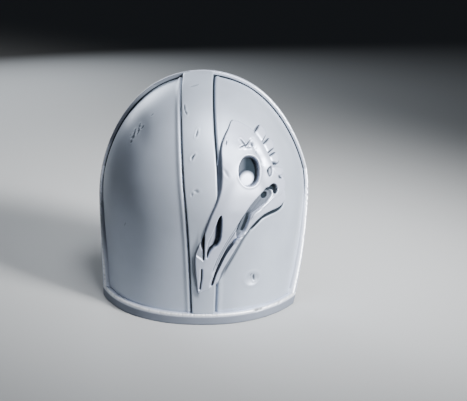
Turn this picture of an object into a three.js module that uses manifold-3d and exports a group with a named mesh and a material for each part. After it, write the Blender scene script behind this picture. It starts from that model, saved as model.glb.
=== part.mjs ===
// A domed pauldron with raised borders, a center band and a horse's skull in relief.
// Millimetres, +Z up. The relief faces -Y, the side worn against the body is open towards +Y.
import * as THREE from "three";
import { mergeVertices } from "three/addons/utils/BufferGeometryUtils.js";
import Module from "manifold-3d";

const wasm = await Module();
wasm.setup();

// Driving dimensions
const HALF_WIDTH = 125;
const DEPTH = 148;
const WALL_HEIGHT = 111;
const DOME_RISE = 148;
const FLARE = 4.4;
const PLAN_POWER = 2.2;
const SHELL_WALL = 2.5;
const RIM_WIDTH = 6;
const RIM_PROUD = 5;
const RIM_THICKNESS = 13;
const FOOT_THICKNESS = 18;
const LEDGE_HEIGHT = 12.6;
const BAND_PROUD = 3.6;
const CHORD_CUT = 0.014;
const CHORD_START = 0.45;
const CHORD_END = 0.05;
const RELIEF_HEIGHT = 9;
const SOCKET_FLOOR = 2.2;
const GAP = 0.3;

// Sizes that follow from them
const PAD_HEIGHT = WALL_HEIGHT + DOME_RISE;
const RIM_LIP = RIM_THICKNESS - RIM_PROUD;
const FOOT_LIP = FOOT_THICKNESS - RIM_PROUD;
const BELOW = PAD_HEIGHT / 4;
const FAR = 2 * (HALF_WIDTH + DEPTH + PAD_HEIGHT);

// Facets of the domed bodies and of the relief
const PLAN_FACETS = 88;
const WALL_RINGS = 4;
const DOME_RINGS = 14;
const CURVE_STEPS = 10;
const STATION_STEPS = 2;
const END_STEPS = 6;

// The open edge in side view, left and right: height as a share of PAD_HEIGHT, how far back
// as a share of DEPTH. The right foot ends further forwards than the left.
const LOWER_EDGE = [
  { height: 0, left: -0.56, right: -0.655 },
  { height: 0.28, left: -0.365, right: -0.325 },
  { height: 0.555, left: -0.048, right: -0.048 },
];
const UPPER_EDGE = [
  { height: 0.555, left: -0.048, right: -0.048 },
  { height: 0.755, left: -0.075, right: -0.075 },
  { height: 0.947, left: -0.045, right: -0.045 },
];

// The center band in front view: height as a share of PAD_HEIGHT, left and right of HALF_WIDTH
const BAND = [
  { height: 0.03, left: -0.04, right: 0.157 },
  { height: 0.42, left: -0.07, right: 0.182 },
  { height: 0.645, left: -0.111, right: 0.175 },
  { height: 0.84, left: -0.147, right: 0.131 },
  { height: 1.04, left: -0.201, right: 0.084 },
];

// The upper skull from the muzzle to the crown of the head. A row holds the ends of one
// section: x as a share of HALF_WIDTH, z of PAD_HEIGHT. edge, ridge and far are the heights
// of the left edge, the middle and the right edge as shares of RELIEF_HEIGHT.
const SKULL = [
  { x1: 0.012, z1: 0.153, x2: 0.115, z2: 0.182, edge: 0.6, ridge: 0.7, far: 0.5 },
  { x1: 0.0, z1: 0.193, x2: 0.13, z2: 0.212, edge: 0.75, ridge: 0.9, far: 0.6 },
  { x1: -0.008, z1: 0.256, x2: 0.16, z2: 0.256, edge: 0.7, ridge: 0.95, far: 0.6 },
  { x1: -0.018, z1: 0.322, x2: 0.205, z2: 0.318, edge: 0.6, ridge: 0.95, far: 0.6 },
  { x1: 0.02, z1: 0.391, x2: 0.262, z2: 0.374, edge: 0.65, ridge: 1, far: 0.6 },
  { x1: 0.067, z1: 0.456, x2: 0.325, z2: 0.425, edge: 0.65, ridge: 1, far: 0.6 },
  { x1: 0.12, z1: 0.519, x2: 0.385, z2: 0.476, edge: 0.6, ridge: 1, far: 0.6 },
  { x1: 0.173, z1: 0.558, x2: 0.445, z2: 0.514, edge: 0.55, ridge: 1, far: 0.6 },
  { x1: 0.206, z1: 0.609, x2: 0.585, z2: 0.572, edge: 0.5, ridge: 1, far: 0.6 },
  { x1: 0.195, z1: 0.676, x2: 0.655, z2: 0.627, edge: 0.5, ridge: 1, far: 0.6 },
  { x1: 0.19, z1: 0.736, x2: 0.645, z2: 0.679, edge: 0.5, ridge: 0.95, far: 0.6 },
  { x1: 0.215, z1: 0.791, x2: 0.575, z2: 0.753, edge: 0.45, ridge: 0.8, far: 0.45 },
  { x1: 0.27, z1: 0.844, x2: 0.5, z2: 0.805, edge: 0.35, ridge: 0.6, far: 0.35 },
  { x1: 0.32, z1: 0.86, x2: 0.44, z2: 0.837, edge: 0.25, ridge: 0.35, far: 0.25 },
];

// The lower jaw from its tip to the joint, with the same columns
const JAW = [
  { x1: 0.15, z1: 0.186, x2: 0.195, z2: 0.194, edge: 0.4, ridge: 0.5, far: 0.35 },
  { x1: 0.19, z1: 0.218, x2: 0.222, z2: 0.22, edge: 0.45, ridge: 0.55, far: 0.4 },
  { x1: 0.236, z1: 0.272, x2: 0.28, z2: 0.266, edge: 0.45, ridge: 0.6, far: 0.4 },
  { x1: 0.298, z1: 0.327, x2: 0.345, z2: 0.316, edge: 0.5, ridge: 0.65, far: 0.4 },
  { x1: 0.359, z1: 0.392, x2: 0.41, z2: 0.364, edge: 0.5, ridge: 0.7, far: 0.4 },
  { x1: 0.426, z1: 0.43, x2: 0.47, z2: 0.415, edge: 0.5, ridge: 0.7, far: 0.45 },
  { x1: 0.457, z1: 0.462, x2: 0.513, z2: 0.441, edge: 0.5, ridge: 0.75, far: 0.5 },
  { x1: 0.49, z1: 0.493, x2: 0.612, z2: 0.465, edge: 0.5, ridge: 0.75, far: 0.5 },
  { x1: 0.566, z1: 0.52, x2: 0.702, z2: 0.476, edge: 0.5, ridge: 0.75, far: 0.5 },
  { x1: 0.64, z1: 0.543, x2: 0.762, z2: 0.502, edge: 0.5, ridge: 0.75, far: 0.45 },
  { x1: 0.69, z1: 0.567, x2: 0.774, z2: 0.54, edge: 0.5, ridge: 0.7, far: 0.45 },
  { x1: 0.705, z1: 0.591, x2: 0.755, z2: 0.579, edge: 0.4, ridge: 0.55, far: 0.35 },
];

// The neck plates: from the skull outwards, x and width as shares of HALF_WIDTH
const NECK = [
  { x1: 0.5, z1: 0.77, x2: 0.572, z2: 0.804, width: 0.085, height: 0.4 },
  { x1: 0.57, z1: 0.731, x2: 0.645, z2: 0.748, width: 0.078, height: 0.4 },
  { x1: 0.61, z1: 0.699, x2: 0.7, z2: 0.696, width: 0.066, height: 0.4 },
  { x1: 0.63, z1: 0.662, x2: 0.735, z2: 0.644, width: 0.06, height: 0.4 },
];

// The eye socket and the nostril, cut into the skull as eggs: a middle and two half axes
const SOCKET = { x: 0.461, z: 0.672, across: 0.09, along: 0.12, lean: -8 };
const NOSTRIL = { x: 0.168, z: 0.415, across: 0.03, along: 0.16, lean: -16 };

// Makes a manifold solid of triangles given as points and faces.
function solidOf(points, faces) {
  const geometry = new THREE.BufferGeometry();
  geometry.setAttribute("position", new THREE.Float32BufferAttribute(points.flat(), 3));
  geometry.setIndex(faces.flat());
  return solidOfGeometry(geometry);
}

function solidOfGeometry(geometry) {
  const bare = geometry.clone();
  bare.deleteAttribute("normal");
  bare.deleteAttribute("uv");
  const merged = mergeVertices(bare, 1e-4);
  const mesh = new wasm.Mesh({
    numProp: 3,
    vertProperties: new Float32Array(merged.attributes.position.array),
    triVerts: new Uint32Array(merged.index.array),
  });
  return new wasm.Manifold(mesh);
}

function geometryOf(solid) {
  const mesh = solid.getMesh();
  const geometry = new THREE.BufferGeometry();
  geometry.setAttribute("position", new THREE.BufferAttribute(mesh.vertProperties, 3));
  geometry.setIndex(new THREE.BufferAttribute(mesh.triVerts, 1));
  geometry.computeVertexNormals();
  return geometry;
}

// The domed surface, grown outwards by lift

// Half the width of the pad at a height.
function halfWidth(z, lift) {
  const low = THREE.MathUtils.clamp(1 - z / WALL_HEIGHT, 0, 1);
  const rise = Math.max(0, z - WALL_HEIGHT) / (DOME_RISE + lift);
  return (HALF_WIDTH + lift + FLARE * low ** 2) * Math.sqrt(Math.max(0, 1 - rise ** 2));
}

// How much narrower the pad is beside its open upper edge, which runs nearly straight there.
// The narrowing fades out forwards, between two shares of the depth.
function chordFactor(y, z) {
  const low = UPPER_EDGE[0].height * PAD_HEIGHT;
  const high = UPPER_EDGE[UPPER_EDGE.length - 1].height * PAD_HEIGHT;
  const along = THREE.MathUtils.clamp((z - low) / (high - low), 0, 1);
  const back = THREE.MathUtils.smoothstep(y, -CHORD_START * DEPTH, -CHORD_END * DEPTH);
  return 1 - CHORD_CUT * Math.sin(Math.PI * along) * back;
}

// The point of the plan outline at a height and an angle from the front.
function planPoint(angle, z, lift) {
  const half = halfWidth(z, lift);
  const stretch = (DEPTH + lift) / (HALF_WIDTH + lift);
  const s = Math.sin(angle);
  const c = Math.cos(angle);
  const reach = (Math.abs(s) ** PLAN_POWER + Math.abs(c) ** PLAN_POWER) ** (-1 / PLAN_POWER);
  const y = -half * stretch * reach * c;
  return [half * reach * s * chordFactor(y, z), y, z];
}

// The whole domed body, open to nothing: a closed stack of plan outlines.
function domeBody(lift) {
  const levels = [-BELOW];
  for (let i = 0; i < WALL_RINGS; i++) {
    levels.push((WALL_HEIGHT * i) / WALL_RINGS);
  }
  for (let i = 0; i < DOME_RINGS; i++) {
    levels.push(WALL_HEIGHT + (DOME_RISE + lift) * Math.sin((Math.PI * i) / (2 * DOME_RINGS)));
  }
  const points = [];
  for (const z of levels) {
    for (let k = 0; k < PLAN_FACETS; k++) {
      points.push(planPoint((2 * Math.PI * k) / PLAN_FACETS, z, lift));
    }
  }
  const below = points.push([0, 0, levels[0]]) - 1;
  const above = points.push([0, 0, PAD_HEIGHT + lift]) - 1;
  const last = (levels.length - 1) * PLAN_FACETS;
  const faces = [];
  for (let k = 0; k < PLAN_FACETS; k++) {
    const next = (k + 1) % PLAN_FACETS;
    for (let i = 0; i < last; i += PLAN_FACETS) {
      faces.push([i + k, i + next, i + PLAN_FACETS + k]);
      faces.push([i + next, i + PLAN_FACETS + next, i + PLAN_FACETS + k]);
    }
    faces.push([below, next, k]);
    faces.push([above, last + k, last + next]);
  }
  return solidOf(points, faces);
}

// The point in front view (x, z) laid on the domed surface and lifted off it squarely.
function onSurface(x, z, lift) {
  const at = (px, pz) => {
    const half = halfWidth(pz, 0);
    let y = -half;
    for (let i = 0; i < 8; i++) {
      const across = Math.min(0.999, Math.abs(px) / (half * chordFactor(y, pz)));
      y = (-half * DEPTH * (1 - across ** PLAN_POWER) ** (1 / PLAN_POWER)) / HALF_WIDTH;
    }
    return new THREE.Vector3(px, y, pz);
  };
  const step = 0.5;
  const point = at(x, z);
  const right = at(x + step, z).sub(at(x - step, z));
  const up = at(x, z + step).sub(at(x, z - step));
  const normal = right.cross(up).normalize();
  return point.addScaledVector(normal, lift).toArray();
}

// Cutters in side view and front view

// A smooth line through rows of named columns, as points in millimetres.
function smoothLine(rows, toPoint) {
  const curve = new THREE.SplineCurve(rows.map(toPoint));
  return curve.getPoints(CURVE_STEPS);
}

// The open edge of one side in side view as points (y, z), moved forwards by inset.
function edgeLine(inset, side) {
  const toPoint = (row) => new THREE.Vector2(row[side] * DEPTH - inset, row.height * PAD_HEIGHT);
  return [...smoothLine(LOWER_EDGE, toPoint), ...smoothLine(UPPER_EDGE, toPoint).slice(1)];
}

// Everything in front of the open edge and between two heights, through the whole width.
function inFrontOf(inset, low, high) {
  const left = sideField(inset, "left").intersect(slab(-FAR, 0, low, high));
  return left.add(sideField(inset, "right").intersect(slab(0, FAR, low, high)));
}

// Everything in front of one side's open edge.
function sideField(inset, side) {
  const line = edgeLine(inset, side);
  const end = line[line.length - 1];
  const outline = [...line, new THREE.Vector2(end.x, FAR), new THREE.Vector2(-FAR, FAR)];
  outline.push(new THREE.Vector2(-FAR, line[0].y));
  const block = new THREE.ExtrudeGeometry(new THREE.Shape(outline), {
    depth: 2 * FAR,
    bevelEnabled: false,
  });
  block.translate(0, 0, -FAR);
  // Shape x is the part's y and shape y is the part's z, so the extrusion runs along x.
  const turn = new THREE.Matrix4().makeBasis(
    new THREE.Vector3(0, 1, 0),
    new THREE.Vector3(0, 0, 1),
    new THREE.Vector3(1, 0, 0),
  );
  block.applyMatrix4(turn);
  return solidOfGeometry(block);
}

// A block between two widths and two heights.
function slab(left, right, low, high) {
  const block = new THREE.BoxGeometry(right - left, 2 * FAR, high - low);
  block.translate((left + right) / 2, 0, (low + high) / 2);
  return solidOfGeometry(block);
}

// The front-view outline of the center band, grown by grow, as a block along y.
function bandBlock(grow) {
  const left = smoothLine(BAND, (row) => {
    return new THREE.Vector2(row.left * HALF_WIDTH - grow, row.height * PAD_HEIGHT);
  });
  const right = smoothLine(BAND, (row) => {
    return new THREE.Vector2(row.right * HALF_WIDTH + grow, row.height * PAD_HEIGHT);
  });
  const block = new THREE.ExtrudeGeometry(new THREE.Shape([...right, ...left.reverse()]), {
    depth: 2 * FAR,
    bevelEnabled: false,
  });
  block.rotateX(Math.PI / 2);
  block.translate(0, FAR, 0);
  return solidOfGeometry(block);
}

// The shell, its borders and its band

const domes = {
  rim: domeBody(RIM_PROUD),
  band: domeBody(BAND_PROUD),
  seat: domeBody(GAP),
  outside: domeBody(0),
  inside: domeBody(-SHELL_WALL),
  lip: domeBody(-RIM_LIP),
  footLip: domeBody(-FOOT_LIP),
};
const upperCorner = UPPER_EDGE[UPPER_EDGE.length - 1].height * PAD_HEIGHT;

function shell() {
  const field = inFrontOf(RIM_WIDTH + GAP, LEDGE_HEIGHT + GAP, FAR);
  return domes.outside.subtract(domes.inside).intersect(field);
}

function border(low, high) {
  const strip = inFrontOf(0, low, high).subtract(inFrontOf(RIM_WIDTH, low - 1, high + 1));
  return domes.rim.subtract(domes.lip).intersect(strip);
}

function bottomRim() {
  return domes.rim.subtract(domes.footLip).intersect(inFrontOf(0, 0, LEDGE_HEIGHT));
}

function sideRim(side) {
  const half = side < 0 ? slab(-FAR, 0, -FAR, FAR) : slab(0, FAR, -FAR, FAR);
  return border(LEDGE_HEIGHT + GAP, upperCorner - GAP / 2).intersect(half);
}

function topRim() {
  return border(upperCorner + GAP / 2, FAR);
}

function centerBand() {
  const field = inFrontOf(RIM_WIDTH + GAP, LEDGE_HEIGHT + GAP, FAR);
  return domes.band.subtract(domes.seat).intersect(field).intersect(bandBlock(0));
}

// The relief

// Rows between the rows of a table, along a smooth line through each column.
function stations(rows) {
  const column = (name, t) => {
    const at = t * (rows.length - 1);
    const i = Math.min(Math.floor(at), rows.length - 2);
    const value = (k) => rows[THREE.MathUtils.clamp(k, 0, rows.length - 1)][name];
    const f = at - i;
    const bend = (value(i + 1) - value(i - 1)) / 2;
    const nextBend = (value(i + 2) - value(i)) / 2;
    const a = 2 * value(i) - 2 * value(i + 1) + bend + nextBend;
    const b = -3 * value(i) + 3 * value(i + 1) - 2 * bend - nextBend;
    return ((a * f + b) * f + bend) * f + value(i);
  };
  const count = (rows.length - 1) * STATION_STEPS;
  return Array.from({ length: count + 1 }, (_, k) => {
    const row = {};
    for (const name of Object.keys(rows[0])) {
      row[name] = column(name, k / count);
    }
    return row;
  });
}

// A carved body over the sections of a table, standing on a foot inside the shell.
function reliefBody(rows, grow) {
  const across = [0, 0.04, 0.2, 0.5, 0.8, 0.96, 1];
  const rise = [0.55, 0.9, 0.7, 1, 0.7, 0.9, 0.55];
  const points = [];
  const list = stations(rows);
  for (const row of list) {
    const from = new THREE.Vector2(row.x1 * HALF_WIDTH, row.z1 * PAD_HEIGHT);
    const to = new THREE.Vector2(row.x2 * HALF_WIDTH, row.z2 * PAD_HEIGHT);
    const out = to.clone().sub(from).normalize().multiplyScalar(grow);
    from.sub(out);
    to.add(out);
    across.forEach((u, k) => {
      const side = u < 0.5 ? row.edge : row.far;
      const edgeShare = Math.min(1, Math.abs(u - 0.5) * 2);
      const height = k === 3 ? row.ridge : side * rise[k] + (row.ridge - side) * (1 - edgeShare);
      const p = from.clone().lerp(to, u);
      points.push(onSurface(p.x, p.y, height * RELIEF_HEIGHT + grow));
    });
    points.push(onSurface(to.x, to.y, -SHELL_WALL));
    points.push(onSurface(from.x, from.y, -SHELL_WALL));
  }
  const ring = across.length + 2;
  const faces = [];
  const last = (list.length - 1) * ring;
  for (let k = 0; k < ring; k++) {
    const next = (k + 1) % ring;
    for (let i = 0; i < last; i += ring) {
      faces.push([i + k, i + next, i + ring + k]);
      faces.push([i + next, i + ring + next, i + ring + k]);
    }
    if (k > 0 && k < ring - 1) {
      faces.push([0, k + 1, k]);
      faces.push([last, last + k, last + k + 1]);
    }
  }
  return outward(points, faces);
}

// A block over an outline in front view, between two heights off the surface.
function reliefBlock(outline, low, high) {
  const count = outline.length;
  const points = outline.map((p) => onSurface(p.x, p.y, low));
  points.push(...outline.map((p) => onSurface(p.x, p.y, high)));
  const faces = [];
  for (const [a, b, c] of THREE.ShapeUtils.triangulateShape(outline, [])) {
    faces.push([c, b, a]);
    faces.push([a + count, b + count, c + count]);
  }
  for (let k = 0; k < count; k++) {
    const next = (k + 1) % count;
    faces.push([k, next, next + count]);
    faces.push([k, next + count, k + count]);
  }
  return outward(points, faces);
}

// Turns a body's faces round if they point inwards.
function outward(points, faces) {
  const made = solidOf(points, faces);
  if (made.volume() > 0) return made;
  return solidOf(points, faces.map(([a, b, c]) => [a, c, b]));
}

function egg(hole) {
  const middle = new THREE.Vector2(hole.x * HALF_WIDTH, hole.z * PAD_HEIGHT);
  const turn = THREE.MathUtils.degToRad(hole.lean);
  const count = 4 * END_STEPS;
  return Array.from({ length: count }, (_, k) => {
    const angle = (2 * Math.PI * k) / count;
    const arm = new THREE.Vector2(hole.across * Math.cos(angle), hole.along * Math.sin(angle));
    return arm.multiplyScalar(HALF_WIDTH).rotateAround(new THREE.Vector2(), turn).add(middle);
  });
}

// A plate with a round outer end.
function plateOutline(plate, grow) {
  const from = new THREE.Vector2(plate.x1 * HALF_WIDTH, plate.z1 * PAD_HEIGHT);
  const to = new THREE.Vector2(plate.x2 * HALF_WIDTH, plate.z2 * PAD_HEIGHT);
  const half = (plate.width * HALF_WIDTH) / 2 + grow;
  const along = to.clone().sub(from).angle();
  const side = new THREE.Vector2(half, 0).rotateAround(new THREE.Vector2(), along - Math.PI / 2);
  const outline = [from.clone().sub(side), from.clone().add(side)];
  for (let k = 0; k <= END_STEPS; k++) {
    const arm = side.clone().rotateAround(new THREE.Vector2(), (Math.PI * k) / END_STEPS);
    outline.push(to.clone().add(arm));
  }
  return outline;
}

// What the relief stands on: the shell, and the band where it crosses the band.
const ground = domeBody(GAP)
  .add(domeBody(BAND_PROUD + GAP).intersect(bandBlock(GAP)));

function horseSkull() {
  const socket = reliefBlock(egg(SOCKET), SOCKET_FLOOR, 2 * RELIEF_HEIGHT);
  const nostril = reliefBlock(egg(NOSTRIL), BAND_PROUD + SOCKET_FLOOR, 2 * RELIEF_HEIGHT);
  return reliefBody(SKULL, 0).subtract(socket).subtract(nostril).subtract(ground);
}

function lowerJaw() {
  return reliefBody(JAW, 0).subtract(reliefBody(SKULL, GAP)).subtract(ground);
}

function neckPlate(plate) {
  const body = reliefBlock(plateOutline(plate, 0), -SHELL_WALL, plate.height * RELIEF_HEIGHT);
  return body.subtract(reliefBody(SKULL, GAP)).subtract(ground);
}

// The scene graph

const pauldron = new THREE.Group();

function addPiece(name, solid, color, roughness) {
  const material = new THREE.MeshStandardMaterial({ color, roughness, metalness: 1 });
  const mesh = new THREE.Mesh(geometryOf(solid), material);
  mesh.name = name;
  pauldron.add(mesh);
}

const PLATE_COLOR = 0x9aa4b4;
const BORDER_COLOR = 0xa6b0c0;
const RELIEF_COLOR = 0xaab3c2;

addPiece("shell", shell(), PLATE_COLOR, 0.42);
addPiece("center_band", centerBand(), PLATE_COLOR, 0.4);
addPiece("bottom_rim", bottomRim(), BORDER_COLOR, 0.38);
addPiece("left_rim", sideRim(-1), BORDER_COLOR, 0.38);
addPiece("right_rim", sideRim(1), BORDER_COLOR, 0.38);
addPiece("top_rim", topRim(), BORDER_COLOR, 0.38);
addPiece("horse_skull", horseSkull(), RELIEF_COLOR, 0.36);
addPiece("lower_jaw", lowerJaw(), RELIEF_COLOR, 0.36);
NECK.forEach((plate, k) => {
  addPiece(`neck_vertebra_${k + 1}`, neckPlate(plate), RELIEF_COLOR, 0.36);
});

// The frame's origin is under the middle of the whole pad's outer box.
const box = new THREE.Box3().setFromObject(pauldron);
pauldron.position.y = -(box.min.y + box.max.y) / 2;

export default pauldron;
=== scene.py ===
import math

import bpy
import numpy as np
from mathutils import Matrix, Vector


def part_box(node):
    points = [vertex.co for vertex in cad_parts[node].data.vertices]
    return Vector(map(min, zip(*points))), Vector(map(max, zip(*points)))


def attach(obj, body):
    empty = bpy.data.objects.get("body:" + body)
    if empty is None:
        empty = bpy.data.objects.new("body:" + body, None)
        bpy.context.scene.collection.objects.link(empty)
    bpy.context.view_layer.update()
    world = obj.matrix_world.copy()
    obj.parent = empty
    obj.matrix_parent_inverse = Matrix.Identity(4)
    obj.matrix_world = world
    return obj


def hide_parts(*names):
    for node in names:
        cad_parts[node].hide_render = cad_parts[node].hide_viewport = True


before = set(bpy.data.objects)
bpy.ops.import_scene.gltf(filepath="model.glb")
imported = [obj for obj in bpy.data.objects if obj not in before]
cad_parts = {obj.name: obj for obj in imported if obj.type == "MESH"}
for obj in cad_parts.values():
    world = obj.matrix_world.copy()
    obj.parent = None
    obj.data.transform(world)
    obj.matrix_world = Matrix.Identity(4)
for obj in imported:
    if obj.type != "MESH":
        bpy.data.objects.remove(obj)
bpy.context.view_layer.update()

# Driving dimensions of the pad in millimetres, as in the part's source
HALF_WIDTH = 125.0
DEPTH = 148.0
WALL_HEIGHT = 111.0
DOME_RISE = 148.0
FLARE = 4.4
PLAN_POWER = 2.2
SHELL_WALL = 2.5
RIM_WIDTH = 6.0
RIM_PROUD = 5.0
RIM_LIP = 8.0
FOOT_LIP = 13.0
LEDGE_HEIGHT = 12.6
CHORD_CUT = 0.014
CHORD_START = 0.45
CHORD_END = 0.05
PAD_HEIGHT = WALL_HEIGHT + DOME_RISE
SEAM = 0.3

# The open edge in side view: height as a share of PAD_HEIGHT, left and right as shares of DEPTH
LOWER_EDGE = [(0.0, -0.56, -0.655), (0.28, -0.365, -0.325), (0.555, -0.048, -0.048)]
UPPER_EDGE = [(0.555, -0.048, -0.048), (0.755, -0.075, -0.075), (0.947, -0.045, -0.045)]

# The center band in front view: height, left and right as shares
BAND = [
    (0.03, -0.04, 0.157),
    (0.42, -0.07, 0.182),
    (0.645, -0.111, 0.175),
    (0.84, -0.147, 0.131),
    (1.04, -0.201, 0.084),
]
BAND_PROUD = 3.2

# The photo's camera, fitted to the pads' outlines: degrees, and lengths as shares of HALF_WIDTH
PHOTO_WIDTH = 467
PHOTO_HEIGHT = 401
FOCAL_PIXELS = 900
CAMERA = {
    "turn": 1.772, "above": 18.795, "roll": 0.305, "right": -0.289, "up": 0.222, "far": 9.043,
}

# Planes across Y: all of the relief lies ahead of the first one, and the view lines to the
# relief cross the second one inside the body
RELIEF_PLANE = -15.0
INNER_PLANE = -20.0

MM = 0.001

# Steps that strew marks evenly, as parts of a turn
GOLDEN_STEP = 0.618034
WIDE_STEP = 0.7549
MIDDLE_STEP = 0.5698
SHORT_STEP = 0.3771


# Curves and fields

def spline(points, steps):
    """A smooth line through the points, with that many steps between each two."""
    p = np.asarray(points, float)
    rows = []
    for i in range(len(p) - 1):
        a = p[max(i - 1, 0)]
        b = p[i]
        c = p[i + 1]
        d = p[min(i + 2, len(p) - 1)]
        t = np.linspace(0, 1, steps, endpoint=False)[:, None]
        rows.append(
            0.5 * (2 * b + (c - a) * t + (2 * a - 5 * b + 4 * c - d) * t**2
                   + (3 * b - a - 3 * c + d) * t**3)
        )
    rows.append(p[-1:])
    return np.concatenate(rows)


def closed_spline(points, steps):
    """A smooth closed line through the points, without its repeated last point."""
    p = np.asarray(points, float)
    wrapped = np.concatenate([p[-1:], p, p[:2]])
    line = spline(wrapped, steps)
    return line[steps:steps * (len(p) + 1)]


def smooth(t):
    """0 below 0, 1 above 1, and a soft step between."""
    t = np.clip(t, 0, 1)
    return t * t * (3 - 2 * t)


def falloff(distance, reach):
    """1 at a place or line, falling softly with the distance from it."""
    return np.exp(-((distance / reach) ** 2))


def spot(xz, x, z):
    """Distance from each front-view place to a spot."""
    return np.hypot(xz[:, 0] - x, xz[:, 1] - z)


def faded(along, start=0.1):
    """1 on the middle of a line, falling to 0 at both its ends."""
    return smooth(along / start) * (1 - step(along, 0.9, 0.1))


def strewn(count, part):
    """Shares from 0 to 1 for a row of marks, each that part of a turn after the last."""
    return np.arange(count) * part % 1


def step(value, start, length):
    """A soft step from 0 to 1 that begins at start and is that long."""
    return smooth((value - start) / length)


def to_line(points, line, closed=False):
    """Distance from each point to a line, the side it is on, and the share along the line."""
    points = np.asarray(points, float)
    line = np.asarray(line, float)
    ends = np.roll(line, -1, axis=0) if closed else line[1:]
    starts = line if closed else line[:-1]
    best = np.full(len(points), 1e9)
    side = np.zeros(len(points))
    along = np.zeros(len(points))
    lengths = np.linalg.norm(ends - starts, axis=1)
    before = np.concatenate([[0], np.cumsum(lengths)[:-1]])
    for a, b, length, start in zip(starts, ends, lengths, before):
        run = (b - a) / max(length, 1e-9)
        rel = points - a
        t = np.clip(rel @ run, 0, length)
        gap = rel - t[:, None] * run
        d = np.hypot(gap[:, 0], gap[:, 1])
        near = d < best
        best = np.where(near, d, best)
        side = np.where(near, np.sign(run[0] * rel[:, 1] - run[1] * rel[:, 0]), side)
        along = np.where(near, (start + t) / lengths.sum(), along)
    return best, side, along


def inside(points, outline):
    """Signed distance to a closed outline, positive inside."""
    d, _, _ = to_line(points, outline, closed=True)
    x, z = points[:, 0], points[:, 1]
    odd = np.zeros(len(points), bool)
    for (x1, z1), (x2, z2) in zip(outline, np.roll(outline, -1, axis=0)):
        if z1 == z2:
            continue
        crosses = (z1 > z) != (z2 > z)
        odd ^= crosses & (x < (x2 - x1) * (z - z1) / (z2 - z1) + x1)
    return np.where(odd, d, -d)


def blend_heights(points, rows, reach):
    """A soft field through rows of (x, z, height)."""
    rows = np.asarray(rows, float)
    total = np.zeros(len(points))
    weight = np.full(len(points), 1e-12)
    for x, z, height in rows:
        w = np.exp(-(spot(points, x, z) ** 2) / (2 * reach**2))
        total += w * height
        weight += w
    return total / weight


# The domed surface, grown outwards by lift

def chord_factor(y, z):
    low = UPPER_EDGE[0][0] * PAD_HEIGHT
    high = UPPER_EDGE[-1][0] * PAD_HEIGHT
    along = np.clip((z - low) / (high - low), 0, 1)
    back = smooth((y / DEPTH + CHORD_START) / (CHORD_START - CHORD_END))
    return 1 - CHORD_CUT * np.sin(np.pi * along) * back


def field(x, y, z, lift):
    """Below 0 inside the domed body, above 0 outside."""
    low = np.clip(1 - z / WALL_HEIGHT, 0, 1)
    rise = np.clip(z - WALL_HEIGHT, 0, None) / (DOME_RISE + lift)
    half = HALF_WIDTH + lift + FLARE * low**2
    stretch = (DEPTH + lift) / (HALF_WIDTH + lift)
    across = np.abs(x / (half * chord_factor(y, z))) ** PLAN_POWER
    forward = np.abs(y / (half * stretch)) ** PLAN_POWER
    return (across + forward) ** (2 / PLAN_POWER) + rise**2 - 1


HIT_STEPS = 44


def hit(start, way, lift, reach=420.0):
    """The points where rays from inside the body leave it, each its own way or all one way."""
    near = np.zeros(len(start))
    far = np.full(len(start), reach)
    for _ in range(HIT_STEPS):
        middle = (near + far) / 2
        p = start + middle[:, None] * np.asarray(way)
        out = field(p[:, 0], p[:, 1], p[:, 2], lift) > 0
        far = np.where(out, middle, far)
        near = np.where(out, near, middle)
    return start + near[:, None] * np.asarray(way)


def normals(p):
    """Outward unit normals of the domed surface near the points."""
    reach = 0.05
    rows = []
    for axis in range(3):
        d = np.zeros(3)
        d[axis] = reach
        a = p + d
        b = p - d
        rows.append(field(a[:, 0], a[:, 1], a[:, 2], 0) - field(b[:, 0], b[:, 1], b[:, 2], 0))
    n = np.stack(rows, 1)
    return n / np.linalg.norm(n, axis=1)[:, None]


def from_front(xz, lift=0.0):
    """Points of the surface over front-view places (x, z)."""
    start = np.stack([xz[:, 0], np.zeros(len(xz)), xz[:, 1]], 1)
    return hit(start, [0.0, -1.0, 0.0], lift)


def camera_frame():
    """The camera's place in the pad's frame, and its right, up and ahead directions."""
    turned, above, roll = (math.radians(CAMERA[k]) for k in ("turn", "above", "roll"))
    ahead = np.array([
        -math.sin(turned) * math.cos(above),
        math.cos(turned) * math.cos(above),
        -math.sin(above),
    ])
    level = np.array([math.cos(turned), math.sin(turned), 0])
    lifted = np.cross(level, ahead)
    right = math.cos(roll) * level + math.sin(roll) * lifted
    up = -math.sin(roll) * level + math.cos(roll) * lifted
    back = CAMERA["far"] * ahead + CAMERA["right"] * right + CAMERA["up"] * up
    return (np.array([0, 0, 1]) - back) * HALF_WIDTH, right, up, ahead


def from_photo(points, over=0.0):
    """Front-view places (x, z), to a tenth of a millimetre, of points read off the photo.

    The points are in the photo's pixels, and lie that far over the domed surface.
    """
    place, right, up, ahead = camera_frame()
    pixels = np.asarray(points, float)
    across = (pixels[:, :1] - PHOTO_WIDTH / 2) / FOCAL_PIXELS
    down = (pixels[:, 1:] - PHOTO_HEIGHT / 2) / FOCAL_PIXELS
    way = ahead + across * right - down * up
    way /= np.linalg.norm(way, axis=1)[:, None]
    start = place + way * ((INNER_PLANE - place[1]) / way[:, 1:2])
    p = hit(start, -way, over)
    p -= normals(p) * over
    return np.round(p[:, [0, 2]], 1).tolist()


def cuts_from_photo(rows, over):
    """Rows for cuts, whose ends are in the photo's pixels, with the ends as front-view places."""
    starts = from_photo([row[:2] for row in rows], over)
    ends = from_photo([row[2:4] for row in rows], over)
    return [(*start, *end, *row[4:]) for start, end, row in zip(starts, ends, rows)]


lower = spline([(z * PAD_HEIGHT, a * DEPTH, b * DEPTH) for z, a, b in LOWER_EDGE], 30)
upper = spline([(z * PAD_HEIGHT, a * DEPTH, b * DEPTH) for z, a, b in UPPER_EDGE], 30)
edge_table = np.concatenate([lower, upper[1:]])
CORNER_HEIGHT = edge_table[-1, 0]
EDGE_TOP = edge_table[-1, 1]


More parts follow.
